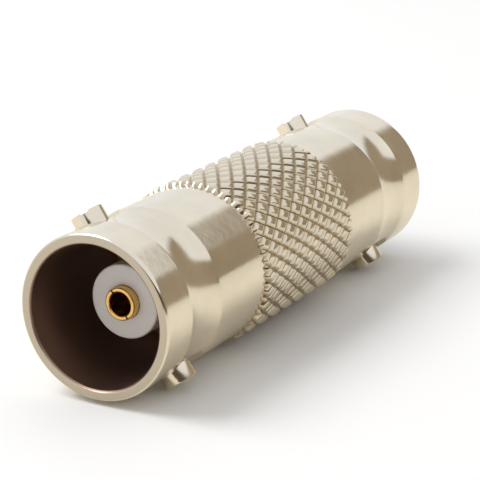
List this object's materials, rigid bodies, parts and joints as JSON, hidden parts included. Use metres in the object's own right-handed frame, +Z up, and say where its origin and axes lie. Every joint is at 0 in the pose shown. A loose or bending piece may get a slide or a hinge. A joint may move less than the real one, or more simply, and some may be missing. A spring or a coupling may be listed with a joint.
{
  "type": "bnc coupler",
  "caption": "Straight coaxial coupler with a bayonet jack at each end, a diamond-knurled grip and a double-ended socket contact.",
  "frame": {"origin": "on the ground under the middle of the coupler, which lies on its side", "axes": "+X along the coupler's axis, +Z up, with the lower lugs leaning towards -Y"},
  "size_m": [0.0328, 0.0102, 0.0102],
  "materials": {
    "nickel": "bright nickel plate on brass",
    "insulator": "smooth white plastic",
    "gold": "gold plate on bronze"
  },
  "bodies": {
    "root": {"barrel": "nickel", "insulator_left": "insulator", "insulator_right": "insulator", "contact": "gold"}
  },
  "joints": []
}
